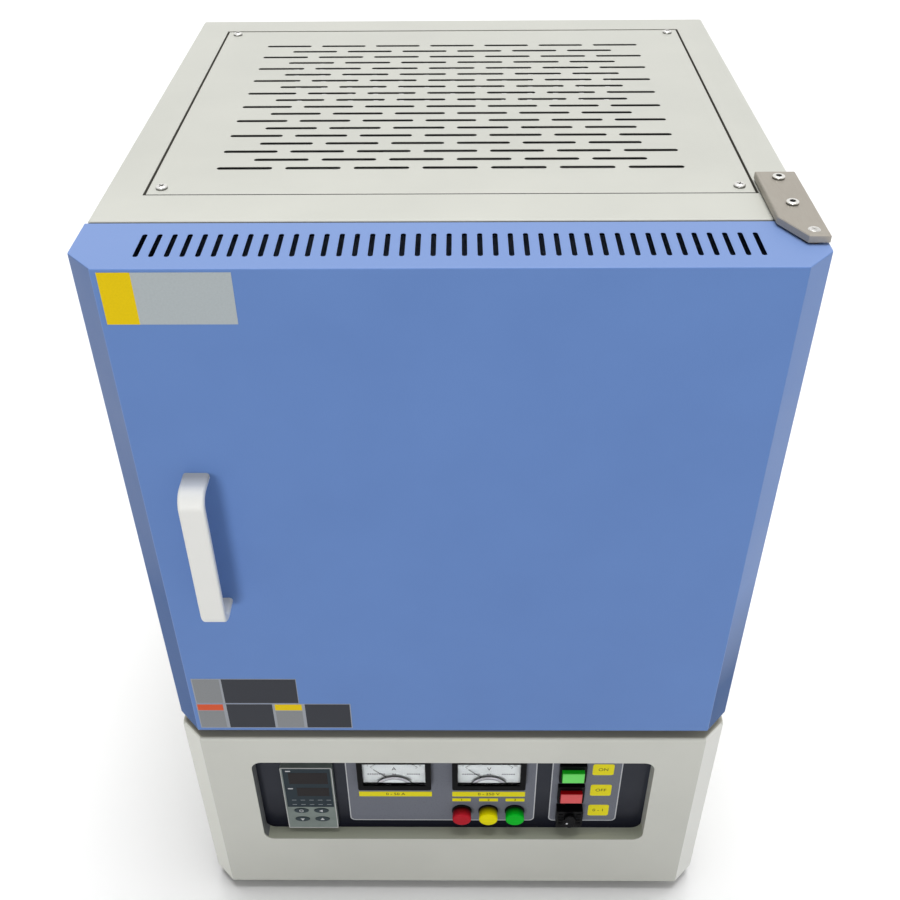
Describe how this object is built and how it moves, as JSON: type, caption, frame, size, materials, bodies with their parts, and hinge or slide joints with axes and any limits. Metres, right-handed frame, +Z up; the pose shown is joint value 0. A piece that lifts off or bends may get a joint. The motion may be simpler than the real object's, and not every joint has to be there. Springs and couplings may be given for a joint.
{
  "type": "muffle furnace",
  "caption": "Bench-top muffle furnace: boxy casing with a slotted top grille over an instrument base, a side-hung insulated door with a bar handle, and a ceramic-fibre chamber with heaters.",
  "frame": {"origin": "on the floor at the centre of the overall footprint, handle and cable gland included", "axes": "+Z up; the door and instruments face -Y; +X is the side of the door hinge, to the operator's right"},
  "size_m": [0.484, 0.5412, 0.7227],
  "materials": {
    "casing_paint": "satin",
    "door_paint": "satin",
    "plain_steel": "satin",
    "fastener_steel": "polished",
    "bush_brass": "satin",
    "handle_alloy": "satin",
    "sink_alloy": "satin",
    "ceramic_fibre": "matte",
    "hearth_ceramic": "matte",
    "element_ceramic": "matte",
    "probe_ceramic": "satin",
    "catch_body": "matte",
    "foot_rubber": "matte",
    "black_plastic": "satin",
    "meter_black": "gloss",
    "grey_plastic": "satin",
    "core_steel": "matte",
    "coil_copper": "satin",
    "panel_film": "gloss",
    "overlay_print": "satin",
    "display_glass": "gloss",
    "key_plastic": "satin",
    "dial_white": "matte",
    "needle_red": "matte",
    "meter_glass": "gloss",
    "lamp_black": "satin",
    "lens_red": "gloss",
    "lens_yellow": "gloss",
    "lens_green": "gloss",
    "cap_green": "gloss",
    "cap_red": "gloss"
  },
  "bodies": {
    "root": {"back_panel": "casing_paint", "base_bottom": "casing_paint", "base_rear_cover": "casing_paint", "base_shell": "casing_paint", "cable_gland": "black_plastic", "circuit_breaker": "grey_plastic", "controller_case": "grey_plastic", "controller_display": "display_glass", "element_clamps": "plain_steel", "fan_frame": "black_plastic", "fan_guard": "plain_steel", "green_lamp_lens": "lens_green", "grille_panel": "casing_paint", "hearth_plate": "hearth_ceramic", "heat_sink": "sink_alloy", "heating_elements": "element_ceramic", "hinge_pins": "fastener_steel", "hinge_plates": "plain_steel", "hinge_screws": "fastener_steel", "inner_shell": "plain_steel", "instrument_panel": "panel_film", "insulation_floor": "ceramic_fibre", "insulation_roof": "ceramic_fibre", "insulation_walls": "ceramic_fibre", "lamp_bodies": "lamp_black", "magnet_catch": "catch_body", "meter_cases": "meter_black", "meter_dials": "dial_white", "meter_glasses": "meter_glass", "mounting_rail": "plain_steel", "outer_casing": "casing_paint", "panel_overlays": "overlay_print", "panel_screws": "fastener_steel", "red_lamp_lens": "lens_red", "rubber_feet": "foot_rubber", "switch_housings": "black_plastic", "terminal_block": "grey_plastic", "thermocouple": "probe_ceramic", "thyristor_module": "black_plastic", "transformer_coil": "coil_copper", "transformer_core": "core_steel", "yellow_lamp_lens": "lens_yellow"},
    "door": {"door_pan": "door_paint", "door_back_plate": "plain_steel", "door_insulation": "ceramic_fibre", "door_gasket": "ceramic_fibre", "door_handle": "handle_alloy", "handle_screws": "fastener_steel", "strike_plate": "plain_steel", "door_bushes": "bush_brass"},
    "start_cap": {"start_button": "cap_green"},
    "stop_cap": {"stop_button": "cap_red"},
    "lock_switch": {"lock_knob": "black_plastic"},
    "set_key": {"key_set": "key_plastic"},
    "shift_key": {"key_shift": "key_plastic"},
    "down_key": {"key_down": "key_plastic"},
    "up_key": {"key_up": "key_plastic"},
    "amps_pointer": {"ammeter_needle": "needle_red"},
    "volts_pointer": {"voltmeter_needle": "needle_red"},
    "fan": {"fan_rotor": "black_plastic"}
  },
  "joints": [
    {"name": "door_swing", "type": "hinge", "parent": "root", "child": "door", "pos_m": [0.233, -0.20515, 0.2455], "axis": [0, 0, 1], "range_deg": [0, 120]},
    {"name": "start_press", "type": "slide", "parent": "root", "child": "start_cap", "axis": [0, 1, 0], "range_m": [0, 0.0025], "stiffness_N_per_m": 400},
    {"name": "stop_press", "type": "slide", "parent": "root", "child": "stop_cap", "axis": [0, 1, 0], "range_m": [0, 0.0025], "stiffness_N_per_m": 400},
    {"name": "lock_turn", "type": "hinge", "parent": "root", "child": "lock_switch", "pos_m": [0.1113, -0.23935, 0.1178], "axis": [0, 1, 0], "range_deg": [0, 90]},
    {"name": "set_key_press", "type": "slide", "parent": "root", "child": "set_key", "axis": [0, 1, 0], "range_m": [0, 0.0008], "stiffness_N_per_m": 300},
    {"name": "shift_key_press", "type": "slide", "parent": "root", "child": "shift_key", "axis": [0, 1, 0], "range_m": [0, 0.0008], "stiffness_N_per_m": 300},
    {"name": "down_key_press", "type": "slide", "parent": "root", "child": "down_key", "axis": [0, 1, 0], "range_m": [0, 0.0008], "stiffness_N_per_m": 300},
    {"name": "up_key_press", "type": "slide", "parent": "root", "child": "up_key", "axis": [0, 1, 0], "range_m": [0, 0.0008], "stiffness_N_per_m": 300},
    {"name": "amps_pointer_swing", "type": "hinge", "parent": "root", "child": "amps_pointer", "pos_m": [-0.0544, -0.23295, 0.1695], "axis": [0, 1, 0], "range_deg": [0, 90], "stiffness_Nm_per_rad": 0.0001},
    {"name": "volts_pointer_swing", "type": "hinge", "parent": "root", "child": "volts_pointer", "pos_m": [0.0336, -0.23295, 0.1695], "axis": [0, 1, 0], "range_deg": [0, 90], "stiffness_Nm_per_rad": 0.0001},
    {"name": "fan_spin", "type": "hinge", "parent": "root", "child": "fan", "pos_m": [0, 0.23565, 0.4355], "axis": [0, 1, 0], "continuous": true}
  ]
}
